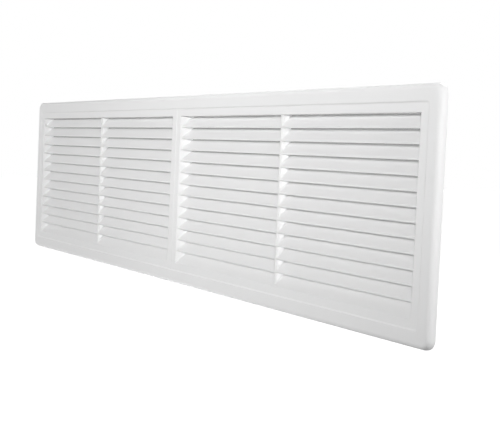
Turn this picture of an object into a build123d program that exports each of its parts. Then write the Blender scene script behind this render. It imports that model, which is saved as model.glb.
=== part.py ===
from build123d import *
from math import atan, cos, degrees, tan
import os

# Louvred air vent, one white moulding. Sizes in millimetres.
# X runs along the vent, Z is up, and the front faces -Y. The origin is the middle of the wall
# face, so the border's rim touches the wall at Y = 0 and the collar reaches behind it.

# Cover plate
plate_width = 440.0
plate_height = 100.0
plate_corner = 4.5  # radius of the outline's corners
rim_depth = 3.5  # from the wall to the front of the border
rim_round = 2.2  # rounding of the border's front edge
skin = 2.0  # thickness of the border and of its rim

# Recessed field inside the border
border = 6.65  # flat border, from the outline to the step
step_run = 0.6  # width of the sloped step
step_drop = 0.3  # depth of the field behind the border
step_corner = 1.2
field_side = 4.5  # flat field at the vent's ends
field_edge = 3.75  # flat field above and below the slats

# Louvres
mullion_width = 10.0  # flat strip between the two halves
end_run = 5.0  # how far each half's sloped end reaches in under the field
end_round = 0.4  # softened edge where the field meets a sloped end
louvre_depth = 5.1  # from the field to the slats' rear edges
slat_spacing = 6.0
slat_setback = 0.75  # slat nose behind the field
slat_nose = 0.8  # upright front face of a slat
slat_wall = 1.6  # thickness, measured upright
slat_crown = 0.15  # rise of the slat's rounded upper face above a flat one
slot_gap = 0.2  # open height between a nose and the slat below it, seen straight on
divider_wall = 2.7  # thickness at the front
divider_rear = 3.4  # and at the slats' rear edges
divider_setback = 0.8  # divider behind the field
divider_round = 1.2

# Bead down the middle of the mullion
bead_width = 2.0
bead_height = 0.22

# Collar behind the plate
collar_depth = 5.7  # beyond the wall face
collar_wall = 1.6

os.makedirs("parts", exist_ok=True)

# Depths along Y
front_y = -rim_depth
field_y = front_y + step_drop
nose_y = field_y + slat_setback
divider_y = field_y + divider_setback
rear_y = field_y + louvre_depth
back_of_skin_y = front_y + skin

# Outlines in X and Z
recess_width = plate_width - 2 * border
recess_height = plate_height - 2 * border
field_width = recess_width - 2 * step_run
field_height = recess_height - 2 * step_run
opening_width = field_width - 2 * field_side
opening_height = field_height - 2 * field_edge
opening_end = opening_width / 2
mullion_side = mullion_width / 2
top_z = opening_height / 2
divider_x = (opening_end + mullion_side) / 2

# The slats share the opening's height evenly
slat_count = max(1, round(opening_height / slat_spacing))
slat_pitch = opening_height / slat_count
slat_top = slat_pitch - slot_gap
slat_slope = (slat_top - slat_nose) / (rear_y - nose_y)
end_slope = atan(end_run / louvre_depth)

weld = collar_wall / 2  # how far slats and dividers run into the walls that carry them


def facing(y):
    """Plane parallel to the wall at this Y, drawn as seen from the front."""
    return Plane.XZ.offset(-y)


def end_wall(x, inward, start_y, back=0.0):
    """Path in X and Y of a sloped end that meets the field at x and then runs straight back.

    inward is +1 or -1, towards the slats, and back moves the path away from them.
    """
    start_x = x + inward * ((start_y - field_y) * tan(end_slope) - back / cos(end_slope))
    foot_x = x + inward * (end_run - back)
    foot_y = rear_y + back * tan(end_slope / 2)
    return [(start_x, start_y), (foot_x, foot_y), (foot_x, collar_depth)]


def between(left, right):
    """Closed face between two such paths."""
    Polygon(*left, *reversed(right), align=None)


def halves(start_y, back=0.0):
    """Plan of both louvred halves, grown by back into the walls around them."""
    between(
        end_wall(mullion_side, 1, start_y, back),
        end_wall(opening_end, -1, start_y, back),
    )
    between(
        end_wall(-opening_end, 1, start_y, back),
        end_wall(-mullion_side, -1, start_y, back),
    )


def slat_section(nose_z, foot_y):
    """Section of one slat in Y and Z. Its lower front corner stands at foot_y."""
    nose_top = (nose_y, nose_z + slat_nose)
    rear_top = (rear_y, nose_z + slat_top)
    rear_low = (rear_y, nose_z + slat_top - slat_wall)
    under = (rear_y - (slat_top - slat_wall) / slat_slope, nose_z)
    with BuildLine() as outline:
        Polyline(rear_top, rear_low, under, (foot_y, nose_z), nose_top)
        SagittaArc(nose_top, rear_top, slat_crown)
    make_face(outline.edges())


# Slats, cut to the plan of the two halves
with BuildPart() as slats:
    with BuildSketch(Plane.YZ):
        for number in range(1, slat_count + 1):
            lowest = number == slat_count
            slat_section(top_z - number * slat_pitch, field_y if lowest else nose_y)
    extrude(amount=opening_end, both=True)
    with BuildSketch(Plane.XY.offset(-top_z)):
        halves(front_y, weld)
    extrude(amount=opening_height, mode=Mode.INTERSECT)

# One thin divider in the middle of each half
with BuildPart() as dividers:
    with BuildSketch(Plane.XY.offset(-top_z - weld)):
        with Locations((-divider_x, 0), (divider_x, 0)):
            Polygon(
                (-divider_wall / 2, divider_y),
                (divider_wall / 2, divider_y),
                (divider_rear / 2, rear_y),
                (-divider_rear / 2, rear_y),
                align=None,
            )
    extrude(amount=opening_height + 2 * weld)
    fillet(dividers.edges().filter_by(Axis.Z).group_by(Axis.Y)[0], divider_round)

# The whole moulding
with BuildPart() as vent:
    with BuildSketch(Plane.XZ):
        RectangleRounded(plate_width, plate_height, plate_corner)
    extrude(amount=rim_depth)
    fillet(vent.faces().sort_by(Axis.Y)[0].edges(), rim_round)

    # hollow behind the border
    with BuildSketch(Plane.XZ):
        RectangleRounded(plate_width - 2 * skin, plate_height - 2 * skin, plate_corner - skin)
    extrude(amount=rim_depth - skin, mode=Mode.SUBTRACT)

    # sloped step down to the field
    with BuildSketch(facing(front_y)):
        RectangleRounded(recess_width, recess_height, step_corner)
    with BuildSketch(facing(field_y)):
        RectangleRounded(field_width, field_height, step_corner)
    loft(ruled=True, mode=Mode.SUBTRACT)

    # collar and sloped ends, first as a block
    with BuildSketch(Plane.XY.offset(-top_z - collar_wall)):
        between(
            end_wall(-opening_end, 1, (field_y + back_of_skin_y) / 2, collar_wall),
            end_wall(opening_end, -1, (field_y + back_of_skin_y) / 2, collar_wall),
        )
    extrude(amount=opening_height + 2 * collar_wall)

    # hollow behind the mullion
    with BuildSketch(Plane.XY.offset(-top_z)):
        between(
            end_wall(-mullion_side, -1, back_of_skin_y, collar_wall),
            end_wall(mullion_side, 1, back_of_skin_y, collar_wall),
        )
    extrude(amount=opening_height, mode=Mode.SUBTRACT)

    # the two halves, open from front to back
    with BuildSketch(Plane.XY.offset(-top_z)):
        halves(front_y)
    extrude(amount=opening_height, mode=Mode.SUBTRACT)
    edge_lines = vent.edges().filter_by(Axis.Z).filter_by_position(
        Axis.Y, field_y - step_drop / 4, field_y + step_drop / 4
    )
    fillet(edge_lines, end_round)

    add(slats.part)
    add(dividers.part)

    # bead on the mullion, from the lower step to the upper one
    with BuildSketch(Plane.XY.offset(-(field_height + step_run) / 2)):
        with BuildLine():
            Polyline(
                (bead_width / 2, field_y),
                (bead_width / 2, (field_y + back_of_skin_y) / 2),
                (-bead_width / 2, (field_y + back_of_skin_y) / 2),
                (-bead_width / 2, field_y),
            )
            SagittaArc((-bead_width / 2, field_y), (bead_width / 2, field_y), -bead_height)
        make_face()
    extrude(amount=field_height + step_run)

vent.part.label = "vent"
export_step(vent.part, "parts/vent.step")

print("slats", slat_count, "pitch", round(slat_pitch, 3), "slope", round(degrees(atan(slat_slope)), 1))
print("end slope", round(degrees(end_slope), 1), "collar", 2 * (opening_end - end_run + collar_wall),
      "x", opening_height + 2 * collar_wall)
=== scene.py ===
import math

import bpy
import bmesh
from mathutils import Matrix, Quaternion, Vector


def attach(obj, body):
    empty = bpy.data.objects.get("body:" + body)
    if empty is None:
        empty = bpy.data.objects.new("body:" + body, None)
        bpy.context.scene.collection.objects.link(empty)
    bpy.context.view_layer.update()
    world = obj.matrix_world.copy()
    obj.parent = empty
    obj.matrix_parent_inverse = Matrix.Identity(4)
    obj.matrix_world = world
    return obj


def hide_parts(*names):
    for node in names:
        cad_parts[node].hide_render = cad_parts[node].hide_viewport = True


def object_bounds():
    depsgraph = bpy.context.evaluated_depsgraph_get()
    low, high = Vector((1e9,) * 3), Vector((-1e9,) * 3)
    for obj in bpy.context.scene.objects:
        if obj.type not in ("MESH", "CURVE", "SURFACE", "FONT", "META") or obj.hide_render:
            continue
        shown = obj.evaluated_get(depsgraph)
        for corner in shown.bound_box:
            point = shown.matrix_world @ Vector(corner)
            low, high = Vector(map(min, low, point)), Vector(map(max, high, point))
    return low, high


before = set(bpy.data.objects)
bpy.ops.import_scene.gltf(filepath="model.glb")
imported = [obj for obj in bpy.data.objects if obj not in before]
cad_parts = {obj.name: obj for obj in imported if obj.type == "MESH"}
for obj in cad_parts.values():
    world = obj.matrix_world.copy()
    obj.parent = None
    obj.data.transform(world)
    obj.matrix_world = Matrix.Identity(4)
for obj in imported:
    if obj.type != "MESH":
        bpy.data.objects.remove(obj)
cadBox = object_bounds()

# The vent's own frame: X along it, Z up, front towards -Y, wall at Y = 0. Everything is in metres.

cover = {
    "width": 0.440,
    "height": 0.100,
    "corner": 0.0045,
    "depth": 0.0035,
    "edgeRound": 0.0022,
    "skin": 0.002,
    "border": 0.00665,
    "stepRun": 0.0006,
    "stepDrop": 0.0003,
    "stepCorner": 0.0012,
    "fieldSide": 0.0045,
    "fieldEdge": 0.00375,
    "mullion": 0.010,
    "endRun": 0.005,
    "louvreDepth": 0.0051,
    "collarDepth": 0.0057,
    "wall": 0.0016,
    "roundSteps": 12,
    "cornerSteps": 12,
    "endSoftness": 0.0004,  # rounding where the sloped ends meet the field
    "softness": 0.4,  # share of it that the other edges get
    "bevelSteps": 3,
    "bevelAbove": 20,  # degrees between two faces
}

# depths and outlines that the pieces share
frontY = -cover["depth"]
fieldY = frontY + cover["stepDrop"]
skinY = frontY + cover["skin"]
rearY = fieldY + cover["louvreDepth"]
backY = cover["collarDepth"]
fieldWide = cover["width"] / 2 - cover["border"] - cover["stepRun"]
fieldHigh = cover["height"] / 2 - cover["border"] - cover["stepRun"]
openEnd = fieldWide - cover["fieldSide"]
openTop = fieldHigh - cover["fieldEdge"]
mullionSide = cover["mullion"] / 2
endTan = cover["endRun"] / cover["louvreDepth"]
endCos = 1 / math.hypot(1, endTan)
bayCentre = (openEnd + mullionSide) / 2  # middle of each half, where its divider stands

same = 1e-6  # points closer than this are one
roundSteps = 3  # of a softened corner
straightFrom = 88  # half a corner's angle, in degrees, from which it stays as it is
edgeParts = 2.2  # a softened corner takes at most one of so many parts of an edge


def addFace(bm, points):
    return bm.faces.new([bm.verts.new(p) for p in points])


def addStrip(bm, first, second, closed=False):
    # quads between two rows of points
    count = len(first)
    for i in range(count if closed else count - 1):
        j = (i + 1) % count
        addFace(bm, [first[i], first[j], second[j], second[i]])


def softened(points, radii, steps=roundSteps):
    # closed 2-D outline with its corners rounded, apart from those that are nearly straight
    out = []
    for i, (here, radius) in enumerate(zip(points, radii)):
        here, back, ahead = Vector(here), Vector(points[i - 1]), Vector(points[(i + 1) % len(points)])
        toBack, toAhead = (back - here).normalized(), (ahead - here).normalized()
        half = toBack.angle(toAhead) / 2
        if radius <= 0 or half > math.radians(straightFrom):
            out.append(here)
            continue
        longest = min((back - here).length, (ahead - here).length) / edgeParts
        run = min(radius / math.tan(half), longest)
        radius = run * math.tan(half)
        middle = here + (toBack + toAhead).normalized() * radius / math.sin(half)
        start = here + toBack * run - middle
        turn = (toBack * run).to_3d().cross((toAhead * run).to_3d()).z
        sweep = math.copysign(math.pi - 2 * half, -turn)
        for s in range(steps + 1):
            spin = sweep * s / steps
            out.append(middle + Matrix.Rotation(spin, 2) @ start)
    return out


def newPiece(name, bm, material):
    bmesh.ops.remove_doubles(bm, verts=bm.verts, dist=same)
    bmesh.ops.recalc_face_normals(bm, faces=bm.faces)
    mesh = bpy.data.meshes.new(name)
    bm.to_mesh(mesh)
    bm.free()
    mesh.materials.append(material)
    piece = bpy.data.objects.new(name, mesh)
    bpy.context.scene.collection.objects.link(piece)
    return piece


def softenShading(mesh, angle):
    # smooth faces, with the edges over this angle kept sharp
    bm = bmesh.new()
    bm.from_mesh(mesh)
    for face in bm.faces:
        face.smooth = True
    for edge in bm.edges:
        edge.smooth = not (len(edge.link_faces) == 2 and edge.calc_face_angle(0) > math.radians(angle))
    bm.to_mesh(mesh)
    bm.free()


# Plastic
plastic = {
    "colour": (0.86, 0.86, 0.86),
    "roughness": 0.47,
    "specular": 0.4,
    "roughnessSpread": 0.05,
    "ior": 1.49,
    "grainSize": 0.00045,
    "grainDetail": 2,
    "grainDepth": 0.000004,
    "cloudSize": 0.05,
    "cloudDetail": 3,
    "cloudSpread": 0.015,  # lighter and darker than the colour
}


def makePlastic(name, s):
    material = bpy.data.materials.new(name)
    material.use_nodes = True
    tree = material.node_tree
    node, link = tree.nodes, tree.links
    shader = node["Principled BSDF"]
    place = node.new("ShaderNodeTexCoord")
    cloud = node.new("ShaderNodeTexNoise")
    cloud.inputs["Scale"].default_value = 1 / s["cloudSize"]
    cloud.inputs["Detail"].default_value = s["cloudDetail"]
    tint = node.new("ShaderNodeMapRange")
    tint.inputs["To Min"].default_value = 1 - s["cloudSpread"]
    tint.inputs["To Max"].default_value = 1 + s["cloudSpread"]
    shade = node.new("ShaderNodeVectorMath")
    shade.operation = "SCALE"
    shade.inputs[0].default_value = s["colour"]
    grain = node.new("ShaderNodeTexNoise")
    grain.inputs["Scale"].default_value = 1 / s["grainSize"]
    grain.inputs["Detail"].default_value = s["grainDetail"]
    gloss = node.new("ShaderNodeMapRange")
    gloss.inputs["To Min"].default_value = s["roughness"] - s["roughnessSpread"]
    gloss.inputs["To Max"].default_value = s["roughness"] + s["roughnessSpread"]
    bump = node.new("ShaderNodeBump")
    bump.inputs["Strength"].default_value = 1
    bump.inputs["Distance"].default_value = s["grainDepth"]
    for noise in (cloud, grain):
        link.new(place.outputs["Object"], noise.inputs["Vector"])
    link.new(cloud.outputs["Fac"], tint.inputs["Value"])
    link.new(tint.outputs["Result"], shade.inputs["Scale"])
    link.new(shade.outputs["Vector"], shader.inputs["Base Color"])
    link.new(grain.outputs["Fac"], gloss.inputs["Value"])
    link.new(gloss.outputs["Result"], shader.inputs["Roughness"])
    link.new(grain.outputs["Fac"], bump.inputs["Height"])
    link.new(bump.outputs["Normal"], shader.inputs["Normal"])
    shader.inputs["IOR"].default_value = s["ior"]
    shader.inputs["Specular IOR Level"].default_value = s["specular"]
    return material


whitePlastic = makePlastic("whitePlastic", plastic)


# Cover
def ring(inset, y, corner):
    # rounded rectangle that far inside the outline, with points level with the openings at both sides
    w, h = cover["width"] / 2 - inset, cover["height"] / 2 - inset
    points = [(w, y, -openTop), (w, y, openTop)]
    for quarter, (sx, sz) in enumerate([(1, 1), (-1, 1), (-1, -1), (1, -1)]):
        if quarter == 2:
            points += [(-w, y, openTop), (-w, y, -openTop)]
        for s in range(cover["cornerSteps"] + 1):
            a = math.pi / 2 * (quarter + s / cover["cornerSteps"])
            x, z = sx * (w - corner) + corner * math.cos(a), sz * (h - corner) + corner * math.sin(a)
            points.append((x, y, z))
    return points


def endPath(x, inward, startY, back=0.0):
    # plan of a sloped end that meets the field at x; back moves it away from the slats
    return [
        (x + inward * ((startY - fieldY) * endTan - back / endCos), startY),
        (x + inward * (cover["endRun"] - back), rearY + back * math.tan(math.atan(endTan) / 2)),
        (x + inward * (cover["endRun"] - back), backY),
    ]


def buildCover():
    bm = bmesh.new()
    skin, corner = cover["skin"], cover["corner"]

    # rim, side, rounded edge, border and step, as rings from the back to the field
    rings = [ring(skin, skinY, corner - skin), ring(skin, 0, corner - skin), ring(0, 0, corner)]
    for s in range(cover["roundSteps"] + 1):
        a = math.pi / 2 * s / cover["roundSteps"]
        inset = cover["edgeRound"] * (1 - math.cos(a))
        rings.append(ring(inset, frontY + cover["edgeRound"] * (1 - math.sin(a)), corner - inset))
    rings.append(ring(cover["border"], frontY, cover["stepCorner"]))
    rings.append(ring(cover["border"] + cover["stepRun"], fieldY, cover["stepCorner"]))
    for first, second in zip(rings, rings[1:]):
        addStrip(bm, first, second, closed=True)

    # field round the two openings
    arc = cover["cornerSteps"] + 1
    inner = rings[-1]
    upper = inner[1:2 + 2 * arc + 1]
    lower = inner[2 + 2 * arc + 1:] + inner[:1]
    crossings = [openEnd, mullionSide, -mullionSide, -openEnd]
    addFace(bm, upper + [(x, fieldY, openTop) for x in reversed(crossings)])
    addFace(bm, lower + [(x, fieldY, -openTop) for x in crossings])
    for strip in [(openEnd, fieldWide), (-mullionSide, mullionSide), (-fieldWide, -openEnd)]:
        addStrip(bm, *[[(x, fieldY, z) for x in strip] for z in (-openTop, openTop)])

    # the two openings, open from front to back
    for side in (1, -1):
        outer = [(side * x, y) for x, y in endPath(openEnd, -1, fieldY)]
        near = [(side * x, y) for x, y in endPath(mullionSide, 1, fieldY)]
        for path in (outer, near):
            addStrip(bm, [(x, y, -openTop) for x, y in path], [(x, y, openTop) for x, y in path])
        for z in (-openTop, openTop):
            addFace(bm, [(x, y, z) for x, y in outer + near[::-1]])

    # hollow behind the mullion
    hollow = endPath(mullionSide, 1, skinY, cover["wall"])
    hollow = [(-x, y) for x, y in reversed(hollow)] + hollow
    addStrip(bm, [(x, y, -openTop) for x, y in hollow], [(x, y, openTop) for x, y in hollow])
    for z in (-openTop, openTop):
        addFace(bm, [(x, y, z) for x, y in hollow])

    # outside of the collar
    outside = endPath(openEnd, -1, skinY, cover["wall"])
    top = openTop + cover["wall"]
    for side in (1, -1):
        addStrip(bm, [(side * x, y, -top) for x, y in outside], [(side * x, y, top) for x, y in outside])
    for z in (-top, top):
        addFace(bm, [(x, y, z) for x, y in outside] + [(-x, y, z) for x, y in reversed(outside)])

    # back of the border, from the rim to the collar
    x = outside[0][0]
    rim = rings[0]
    right = [(x, skinY, -top), rim[-1], rim[0], rim[1], rim[2], (x, skinY, top)]
    above = [(x, skinY, top)] + rim[2:2 + 2 * arc] + [(-x, skinY, top)]
    addFace(bm, right)
    addFace(bm, above)
    addFace(bm, [(-px, py, -pz) for px, py, pz in right])
    addFace(bm, [(-px, py, -pz) for px, py, pz in above])

    # rear edge of the collar
    x = outside[-1][0]
    slatEnd, wallSide = openEnd - cover["endRun"], mullionSide + cover["endRun"]
    stations = [slatEnd, wallSide, wallSide - cover["wall"]]
    stations += [-s for s in reversed(stations)]
    for z0, z1 in ((openTop, top), (-openTop, -top)):
        addFace(bm, [(x, backY, z1)] + [(s, backY, z0) for s in stations] + [(-x, backY, z1)])
    for side in (1, -1):
        addFace(bm, [(side * px, backY, pz) for px, pz in
                     ((x, -top), (x, top), (slatEnd, openTop), (slatEnd, -openTop))])
        addFace(bm, [(side * px, backY, pz) for px, pz in
                     ((wallSide, -openTop), (wallSide, openTop),
                      (wallSide - cover["wall"], openTop), (wallSide - cover["wall"], -openTop))])
    return bm


def finishCover(bm):
    # bevel weights: full on the sloped ends' front edges, less on every other edge
    bmesh.ops.remove_doubles(bm, verts=bm.verts, dist=same)
    bmesh.ops.recalc_face_normals(bm, faces=bm.faces)
    weight = bm.edges.layers.float.new("bevel_weight_edge")
    for edge in bm.edges:
        if len(edge.link_faces) != 2 or edge.calc_face_angle(0) < math.radians(cover["bevelAbove"]):
            continue
        a, b = (v.co for v in edge.verts)
        upright = abs(a.x - b.x) < same and abs(a.y - b.y) < same
        atField = max(abs(a.y - fieldY), abs(b.y - fieldY)) < same
        atEnd = upright and atField and abs(a.x) < fieldWide - cover["endSoftness"]
        edge[weight] = 1 if atEnd else cover["softness"]
    return bm


coverPiece = newPiece("cover", finishCover(buildCover()), whitePlastic)
coverPiece.data.shade_smooth()
soften = coverPiece.modifiers.new("Soften", "BEVEL")
soften.limit_method = "WEIGHT"
soften.width = cover["endSoftness"]
soften.segments = cover["bevelSteps"]
soften.use_clamp_overlap = False
soften.harden_normals = False
evenNormals = coverPiece.modifiers.new("Even normals", "WEIGHTED_NORMAL")
evenNormals.keep_sharp = True
print("cover:", len(coverPiece.data.polygons), "faces before its edges are softened")

# Bead down the mullion
bead = {
    "width": 0.002,
    "height": 0.00022,
    "steps": 10,
    "root": 0.0006,  # how far it runs into the mullion
    "smoothUnder": 30,  # degrees between two faces
}


def buildBead():
    bm = bmesh.new()
    half, rise = bead["width"] / 2, bead["height"]
    radius = (half * half + rise * rise) / (2 * rise)
    reach = math.asin(half / radius)
    section = []
    for s in range(bead["steps"] + 1):
        a = -reach + 2 * reach * s / bead["steps"]
        section.append((radius * math.sin(a), fieldY - rise + radius * (1 - math.cos(a))))
    section += [(half, fieldY + bead["root"]), (-half, fieldY + bead["root"])]
    end = fieldHigh + cover["stepRun"] / 2
    low, high = [[(x, y, z) for x, y in section] for z in (-end, end)]
    addStrip(bm, low, high, closed=True)
    addFace(bm, low)
    addFace(bm, high)
    return bm


beadPiece = newPiece("bead", buildBead(), whitePlastic)
softenShading(beadPiece.data, bead["smoothUnder"])
print("bead:", len(beadPiece.data.polygons), "faces")

# Dividers
divider = {
    "width": 0.0027,
    "rearWidth": 0.0034,
    "setback": 0.0008,  # behind the field
    "noseRound": 0.0012,
    "rearRound": 0.00015,
    "roundSteps": 4,
    "weld": 0.0008,  # how far it runs into the walls above and below
    "smoothUnder": 30,
}


def buildDividers():
    bm = bmesh.new()
    half, start = divider["width"] / 2, fieldY + divider["setback"]
    rear = divider["rearWidth"] / 2
    outline = [(-half, start), (half, start), (rear, rearY), (-rear, rearY)]
    radii = [divider["noseRound"]] * 2 + [divider["rearRound"]] * 2
    section = softened(outline, radii, divider["roundSteps"])
    end = openTop + divider["weld"]
    for side in (1, -1):
        low, high = [[(side * bayCentre + p.x, p.y, z) for p in section] for z in (-end, end)]
        addStrip(bm, low, high, closed=True)
        addFace(bm, low)
        addFace(bm, high)
    return bm


dividerPiece = newPiece("dividers", buildDividers(), whitePlastic)
softenShading(dividerPiece.data, divider["smoothUnder"])
print("dividers:", len(dividerPiece.data.polygons), "faces")

# Slats
slat = {
    "rows": 13,
    "setback": 0.00075,  # behind the field
    "nose": 0.0008,
    "wall": 0.0016,  # measured upright
    "crown": 0.00015,
    "gap": 0.0002,  # open height between two slats, seen straight on
    "weld": 0.0008,
    "crownSteps": 6,
    "noseRound": 0.00022,
    "underRound": 0.00025,
    "sillRound": 0.00003,
    "underBend": 0.0003,
    "rearRound": 0.00008,
    "smoothUnder": 35,
}
pitch = 2 * openTop / slat["rows"]


def slatSection(sill):
    # outline of one slat in Y and Z, its lower front edge at Z = 0; the sill's reaches the field
    noseY, rise = fieldY + slat["setback"], pitch - slat["gap"]
    slope = (rise - slat["nose"]) / (rearY - noseY)
    corners = [
        (rearY, rise - slat["wall"]),
        (rearY - (rise - slat["wall"]) / slope, 0),
        (fieldY if sill else noseY, 0),
        (noseY, slat["nose"]),
    ]
    low, high = Vector((noseY, slat["nose"])), Vector((rearY, rise))
    lift = Vector((low.y - high.y, high.x - low.x)).normalized()
    for s in range(1, slat["crownSteps"]):
        t = s / slat["crownSteps"]
        corners.append(tuple(low.lerp(high, t) + lift * slat["crown"] * 4 * t * (1 - t)))
    corners.append((rearY, rise))
    front = [slat["sillRound"] if sill else slat["underRound"], slat["noseRound"]]
    crown = [0] * (slat["crownSteps"] - 1)
    return softened(corners, [slat["rearRound"], slat["underBend"]] + front + crown + [slat["rearRound"]])


# inputs of the trees that repeat something down the rows
rowInputs = [("Rows", "Int"), ("Pitch", "Float"), ("Top Row", "Float"), ("Plastic", "Material")]


def startTree(name, inputs):
    tree = bpy.data.node_groups.new(name, "GeometryNodeTree")
    for way in ("OUTPUT", "INPUT"):
        tree.interface.new_socket("Geometry", in_out=way, socket_type="NodeSocketGeometry")
    for label, kind in inputs:
        tree.interface.new_socket(label, in_out="INPUT", socket_type="NodeSocket" + kind)
    return tree, tree.nodes.new("NodeGroupInput").outputs


def maths(tree, operation, *values):
    # result of a maths node whose inputs are sockets or numbers
    node = tree.nodes.new("ShaderNodeMath")
    node.operation = operation
    for i, value in enumerate(values):
        if isinstance(value, bpy.types.NodeSocket):
            tree.links.new(value, node.inputs[i])
        else:
            node.inputs[i].default_value = value
    return node.outputs["Value"]


def vector(tree, **parts):
    node = tree.nodes.new("ShaderNodeCombineXYZ")
    for axis, value in parts.items():
        tree.links.new(value, node.inputs[axis])
    return node.outputs["Vector"]


def pointRow(tree, given, start):
    # a point for each row, one pitch apart downwards
    rows = tree.nodes.new("GeometryNodeMeshLine")
    rows.mode = "OFFSET"
    tree.links.new(given["Rows"], rows.inputs["Count"])
    tree.links.new(start, rows.inputs["Start Location"])
    tree.links.new(vector(tree, Z=maths(tree, "MULTIPLY", given["Pitch"], -1)), rows.inputs["Offset"])
    return rows.outputs["Mesh"]


def finishTree(tree, given, points, copied):
    # a real copy at each point, in its material
    link = tree.links.new
    copy = tree.nodes.new("GeometryNodeInstanceOnPoints")
    real = tree.nodes.new("GeometryNodeRealizeInstances")
    paint = tree.nodes.new("GeometryNodeSetMaterial")
    result = tree.nodes.new("NodeGroupOutput")
    link(points, copy.inputs["Points"])
    link(copied, copy.inputs["Instance"])
    link(copy.outputs["Instances"], real.inputs["Geometry"])
    link(real.outputs["Geometry"], paint.inputs["Geometry"])
    link(given["Plastic"], paint.inputs["Material"])
    link(paint.outputs["Geometry"], result.inputs["Geometry"])


def slatTree():
    # section outline in, rows of slats with sloped ends out
    sizes = [(label, "Float") for label in ("Half Length", "End Slope", "Field Depth", "Bay Centre")]
    tree, given = startTree("slatRows", rowInputs + sizes)
    node, link = tree.nodes, tree.links

    # sweep the section along X, one unit each way
    outline = node.new("GeometryNodeMeshToCurve")
    line = node.new("GeometryNodeCurvePrimitiveLine")
    line.inputs["Start"].default_value = (-1, 0, 0)
    line.inputs["End"].default_value = (1, 0, 0)
    sweep = node.new("GeometryNodeCurveToMesh")
    sweep.inputs["Fill Caps"].default_value = True
    link.new(given["Geometry"], outline.inputs["Mesh"])
    link.new(line.outputs["Curve"], sweep.inputs["Curve"])
    link.new(outline.outputs["Curve"], sweep.inputs["Profile Curve"])

    # stretch it to its length, shorter towards the back as the sloped ends close in
    place = node.new("GeometryNodeInputPosition")
    split = node.new("ShaderNodeSeparateXYZ")
    stretch = node.new("GeometryNodeSetPosition")
    link.new(place.outputs["Position"], split.inputs["Vector"])
    deep = maths(tree, "SUBTRACT", split.outputs["Y"], given["Field Depth"])
    narrowed = maths(tree, "MULTIPLY", deep, given["End Slope"])
    reach = maths(tree, "SUBTRACT", given["Half Length"], narrowed)
    across = maths(tree, "MULTIPLY", split.outputs["X"], reach)
    moved = vector(tree, X=across, Y=split.outputs["Y"], Z=split.outputs["Z"])
    link.new(sweep.outputs["Mesh"], stretch.inputs["Geometry"])
    link.new(moved, stretch.inputs["Position"])

    # down each half
    halves = node.new("GeometryNodeJoinGeometry")
    for side in (1, -1):
        start = vector(tree, X=maths(tree, "MULTIPLY", given["Bay Centre"], side), Z=given["Top Row"])
        link.new(pointRow(tree, given, start), halves.inputs["Geometry"])
    finishTree(tree, given, halves.outputs["Geometry"], stretch.outputs["Geometry"])
    return tree


def cornerTree():
    # the corners of one row in, those of all rows out
    tree, given = startTree("cornerRows", rowInputs)
    finishTree(tree, given, pointRow(tree, given, vector(tree, Z=given["Top Row"])), given["Geometry"])
    return tree


def sectionMesh(name, sill):
    # a loop of edges whose x and y the sweep turns into depth and height
    section = slatSection(sill)
    edges = [(i, (i + 1) % len(section)) for i in range(len(section))]
    mesh = bpy.data.meshes.new(name)
    mesh.from_pydata([(-p.x, -p.y, 0) for p in section], edges, [])
    return mesh


def bakeRows(name, mesh, tree, values):
    carrier = bpy.data.objects.new(name, mesh)
    bpy.context.scene.collection.objects.link(carrier)
    rows = carrier.modifiers.new("Rows", "NODES")
    rows.node_group = tree
    for item in tree.interface.items_tree:
        if item.item_type == "SOCKET" and item.in_out == "INPUT" and item.name in values:
            rows[item.identifier] = values[item.name]
    graph = bpy.context.evaluated_depsgraph_get()
    baked = bpy.data.meshes.new_from_object(carrier.evaluated_get(graph))
    bpy.data.objects.remove(carrier)
    return baked


slatNodes = slatTree()
slatValues = {
    "Rows": slat["rows"] - 1,
    "Pitch": pitch,
    "Top Row": openTop - pitch,
    "Half Length": (openEnd - mullionSide) / 2 + slat["weld"] / endCos,
    "End Slope": endTan,
    "Field Depth": fieldY,
    "Bay Centre": bayCentre,
    "Plastic": whitePlastic,
}
sillValues = {**slatValues, "Rows": 1, "Top Row": -openTop}
bmSlats = bmesh.new()
bmSlats.from_mesh(bakeRows("slatSection", sectionMesh("slatSection", False), slatNodes, slatValues))
bmSlats.from_mesh(bakeRows("sillSection", sectionMesh("sillSection", True), slatNodes, sillValues))
slatPiece = newPiece("slats", bmSlats, whitePlastic)
softenShading(slatPiece.data, slat["smoothUnder"])
print("slats:", len(slatPiece.data.polygons), "faces")

# Hollow corners where the slats run into the dividers and the sloped ends
cornerTrim = {
    "atWall": 0.0003,  # largest radius at the sloped ends
    "atDivider": 0.001,
    "least": 0.00003,  # smallest radius, at the front
    "steps": 5,
    "sink": 0.00004,  # how far the edges lie inside the plastic beside them
    "root": 0.0003,  # how far the hidden edge lies inside
    "clear": 0.0001,  # kept from the front of the divider or end
    "leastLean": 0.05,  # of the slat's outward direction towards the front
    "smoothUnder": 50,
}
dividerFront = fieldY + divider["setback"]


def dividerHalf(y):
    # half thickness of a divider at this depth: more towards the back, less in its rounded front
    r, deep = divider["noseRound"], y - dividerFront
    spread = (divider["rearWidth"] - divider["width"]) / 2
    half = divider["width"] / 2 + spread * deep / (rearY - dividerFront)
    if deep >= r:
        return half
    return half - r + math.sqrt(max(0, r * r - (r - max(0, deep)) ** 2))


# each side that a slat meets in the right half: its x at a depth, the way into the bay, front and radius
slatSides = [
    (lambda y: openEnd - (y - fieldY) * endTan, -1, fieldY, cornerTrim["atWall"]),
    (lambda y: mullionSide + (y - fieldY) * endTan, 1, fieldY, cornerTrim["atWall"]),
    (lambda y: bayCentre + dividerHalf(y), 1, dividerFront, cornerTrim["atDivider"]),
    (lambda y: bayCentre - dividerHalf(y), -1, dividerFront, cornerTrim["atDivider"]),
]


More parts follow.
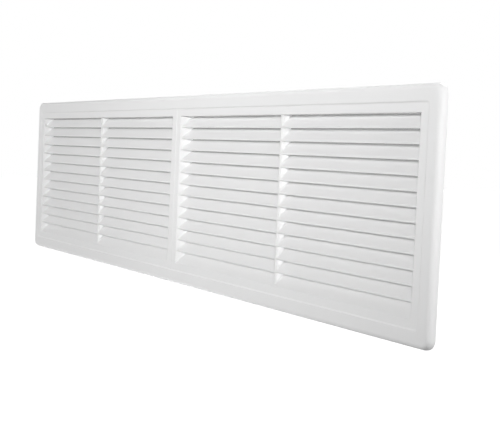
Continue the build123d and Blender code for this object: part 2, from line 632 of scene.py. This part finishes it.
def cornerOutline(radius):
    # how far each point lies from the side and above the slat, the hidden edge first
    points = [(-cornerTrim["root"], -cornerTrim["root"])]
    for s in range(cornerTrim["steps"] + 1):
        a = math.pi / 2 * s / cornerTrim["steps"]
        points.append([radius * (1 - turn) - cornerTrim["sink"] for turn in (math.cos(a), math.sin(a))])
    return points


def buildCorners(sill):
    # the corners of one row of slats, as closed strips along the slat's front and upper face
    bm = bmesh.new()
    first = 3 * (roundSteps + 1) - 1  # last point of the rounding under the nose
    last = first + roundSteps + 1 + slat["crownSteps"]  # first point of the upper rear rounding
    path = slatSection(sill)[first:last + 1]
    for sideX, inward, front, largest in slatSides:
        for half in (1, -1):
            rings = []
            for i, here in enumerate(path):
                along = (path[min(i + 1, len(path) - 1)] - path[max(i - 1, 0)]).normalized()
                out = Vector((-along.y, along.x))
                room = (here.x - front - cornerTrim["clear"]) / max(cornerTrim["leastLean"], -out.x)
                loop = []
                for reach, rise in cornerOutline(max(cornerTrim["least"], min(largest, room))):
                    y, z = here + out * rise
                    loop.append((half * (sideX(y) + inward * reach), y, z))
                rings.append(loop)
            for near, far in zip(rings, rings[1:]):
                addStrip(bm, near, far, closed=True)
            addFace(bm, rings[0])
            addFace(bm, rings[-1])
    bmesh.ops.remove_doubles(bm, verts=bm.verts, dist=same / 10)
    bmesh.ops.recalc_face_normals(bm, faces=bm.faces)
    return bm


cornerNodes = cornerTree()
bmCorners = bmesh.new()
for name, isSill, values in (("corners", False, slatValues), ("sillCorners", True, sillValues)):
    bmRow = buildCorners(isSill)
    rowMesh = bpy.data.meshes.new(name)
    bmRow.to_mesh(rowMesh)
    bmRow.free()
    bmCorners.from_mesh(bakeRows(name, rowMesh, cornerNodes, values))
cornerPiece = newPiece("corners", bmCorners, whitePlastic)
softenShading(cornerPiece.data, cornerTrim["smoothUnder"])
print("corners:", len(cornerPiece.data.polygons), "faces")

pieces = [coverPiece, beadPiece, dividerPiece, slatPiece, cornerPiece]
for piece in pieces:
    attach(piece, "root")
    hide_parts("vent")

# Stage
stage = {
    "floorDrop": 0.12,  # under the vent
    "floorSize": 12.0,
    "floorWhite": 0.93,  # glow of the floor near the vent; its shading and the shadow make up the rest
    "floorShade": 0.3,
    "whiteFrom": (0.5, 1.5),  # distances over which the floor turns fully white
    "ambient": 0.04,
    # grey of the painted-shade card that glows behind the slots
    "paintedShadeLevel": 0.34,
    "cardGap": 0.0001,  # behind the slats
    "cardLap": 0.0005,  # how far the card runs into the collar's walls
}


def makeFloor():
    size, z = stage["floorSize"] / 2, cadBox[0].z - stage["floorDrop"]
    corners = [(-size, -size, z), (size, -size, z), (size, size, z), (-size, size, z)]
    mesh = bpy.data.meshes.new("floor")
    mesh.from_pydata(corners, [], [(0, 1, 2, 3)])
    material = bpy.data.materials.new("paleFloor")
    material.use_nodes = True
    node, link = material.node_tree.nodes, material.node_tree.links
    node.remove(node["Principled BSDF"])
    place = node.new("ShaderNodeTexCoord")
    away = node.new("ShaderNodeVectorMath")
    away.operation = "LENGTH"
    fade = node.new("ShaderNodeMapRange")
    fade.inputs["From Min"].default_value, fade.inputs["From Max"].default_value = stage["whiteFrom"]
    fade.inputs["To Min"].default_value, fade.inputs["To Max"].default_value = stage["floorWhite"], 1
    glow = node.new("ShaderNodeEmission")
    paint = node.new("ShaderNodeBsdfDiffuse")
    paint.inputs["Color"].default_value = (stage["floorShade"],) * 3 + (1,)
    both = node.new("ShaderNodeAddShader")
    link.new(place.outputs["Object"], away.inputs[0])
    link.new(away.outputs["Value"], fade.inputs["Value"])
    link.new(fade.outputs["Result"], glow.inputs["Strength"])
    link.new(glow.outputs["Emission"], both.inputs[0])
    link.new(paint.outputs["BSDF"], both.inputs[1])
    link.new(both.outputs["Shader"], node["Material Output"].inputs["Surface"])
    mesh.materials.append(material)
    floor = bpy.data.objects.new("floor", mesh)
    bpy.context.scene.collection.objects.link(floor)
    floor.visible_diffuse = False
    floor.visible_glossy = False
    floor.visible_shadow = False
    return floor


def makePaintedShadeCard():
    # a grey glowing card of painted shade just behind the slats: it stands in for the shade behind the
    # slots and shows only through them, from the front
    x = openEnd - cover["endRun"] + stage["cardLap"]
    y = rearY + stage["cardGap"]
    z = openTop + stage["cardLap"]
    mesh = bpy.data.meshes.new("paintedShadeCard")
    mesh.from_pydata([(-x, y, -z), (x, y, -z), (x, y, z), (-x, y, z)], [], [(0, 1, 2, 3)])
    material = bpy.data.materials.new("paintedShadeCard")
    material.use_nodes = True
    node, link = material.node_tree.nodes, material.node_tree.links
    node.remove(node["Principled BSDF"])
    side = node.new("ShaderNodeNewGeometry")
    # painted shade: the card's front glows in this grey instead of being lit
    shadeGlow = node.new("ShaderNodeEmission")
    shadeGlow.inputs["Color"].default_value = (stage["paintedShadeLevel"],) * 3 + (1,)
    clear = node.new("ShaderNodeBsdfTransparent")
    mix = node.new("ShaderNodeMixShader")
    link.new(side.outputs["Backfacing"], mix.inputs["Fac"])
    link.new(shadeGlow.outputs["Emission"], mix.inputs[1])
    link.new(clear.outputs["BSDF"], mix.inputs[2])
    link.new(mix.outputs["Shader"], node["Material Output"].inputs["Surface"])
    mesh.materials.append(material)
    card = bpy.data.objects.new("paintedShadeCard", mesh)
    bpy.context.scene.collection.objects.link(card)
    for kind in ("diffuse", "glossy", "transmission", "volume_scatter", "shadow"):
        setattr(card, "visible_" + kind, False)
    return card


def makeWorld():
    # white where it is seen directly or mirrored, and a weak light on everything else
    world = bpy.data.worlds.new("studio")
    bpy.context.scene.world = world
    world.use_nodes = True
    node, link = world.node_tree.nodes, world.node_tree.links
    light = node["Background"]
    light.inputs["Color"].default_value = (1, 1, 1, 1)
    light.inputs["Strength"].default_value = stage["ambient"]
    white = node.new("ShaderNodeBackground")
    white.inputs["Color"].default_value = (1, 1, 1, 1)
    white.inputs["Strength"].default_value = 1
    path = node.new("ShaderNodeLightPath").outputs
    seen = maths(world.node_tree, "MAXIMUM", path["Is Camera Ray"], path["Is Glossy Ray"])
    seen = maths(world.node_tree, "MAXIMUM", seen, path["Is Transmission Ray"])
    mix = node.new("ShaderNodeMixShader")
    link.new(seen, mix.inputs["Fac"])
    link.new(light.outputs["Background"], mix.inputs[1])
    link.new(white.outputs["Background"], mix.inputs[2])
    link.new(mix.outputs["Shader"], node["World Output"].inputs["Surface"])


# spots have a cone in degrees and a radius, areas the two sides of a rectangle; powers are in watts
lamps = {
    "key": {"at": (1.344, -0.840, 0.223), "aim": (0.1, 0, 0.08), "power": 40, "cone": 20, "radius": 0.08},
    "keyLeft": {
        "at": (0.775, -0.35, 0.065), "aim": (-0.25, 0, 0.05), "power": 11, "cone": 30, "radius": 0.08,
    },
    "front": {
        "at": (-0.465, -1.277, 0.339), "aim": (0.12, 0, 0.04), "power": 10.8, "cone": 20, "radius": 0.08,
    },
    "leftFill": {"at": (-0.788, -1.365, 0.278), "aim": (0, 0, 0), "power": 12, "sides": (0.5, 0.5)},
    "sideFill": {"at": (1.170, 0.206, 0.167), "aim": (0.1, 0, 0), "power": 5.1, "sides": (0.4, 0.4)},
    # the next two only reach the cover's lower and upper edges
    "underFill": {
        "at": (-0.1, -0.003, -0.16), "aim": (-0.1, -0.002, -0.05), "power": 0.13, "sides": (0.4, 0.002),
    },
    "topFill": {
        "at": (0.12, -0.003, 0.16), "aim": (0.12, -0.002, 0.05), "power": 0.05, "sides": (0.3, 0.002),
    },
    "backFill": {"at": (-0.5, 1.0, 0.95), "aim": (0, 0, 0), "power": 12, "sides": (0.6, 0.6)},
}


def aimed(start, target):
    # turn that points -Z from one place to the other, with Y up
    return (Vector(target) - Vector(start)).to_track_quat("-Z", "Y")


def addLamp(name, s):
    light = bpy.data.lights.new(name, "SPOT" if "cone" in s else "AREA")
    light.energy = s["power"]
    if "cone" in s:
        light.spot_size, light.spot_blend = math.radians(s["cone"]), 1
        light.shadow_soft_size = s["radius"]
    else:
        light.shape = "RECTANGLE"
        light.size, light.size_y = s["sides"]
    lamp = bpy.data.objects.new(name, light)
    lamp.location = s["at"]
    lamp.rotation_mode = "QUATERNION"
    lamp.rotation_quaternion = aimed(s["at"], s["aim"])
    lamp.visible_camera = False
    bpy.context.scene.collection.objects.link(lamp)


makeFloor()
makePaintedShadeCard()
makeWorld()
for name, settings in lamps.items():
    addLamp(name, settings)
print("stage and lamps:", len(lamps), "lamps")

# Camera
camera = {
    "at": (0.54672, -0.27020, 0.02007),
    "aim": (0.08351, -0.0035, -0.0065),
    "roll": 2.567,  # degrees
    "lens": 81.5,
    "sensor": 36,
    "clip": (0.01, 50),
}
lens = bpy.data.cameras.new("camera")
lens.lens = camera["lens"]
lens.sensor_width = camera["sensor"]
lens.clip_start, lens.clip_end = camera["clip"]
viewer = bpy.data.objects.new("camera", lens)
viewer.location = camera["at"]
viewer.rotation_mode = "QUATERNION"
roll = Quaternion((0, 0, 1), math.radians(camera["roll"]))
viewer.rotation_quaternion = aimed(camera["at"], camera["aim"]) @ roll
bpy.context.scene.collection.objects.link(viewer)
bpy.context.scene.camera = viewer
bpy.context.scene.view_settings.view_transform = "Standard"
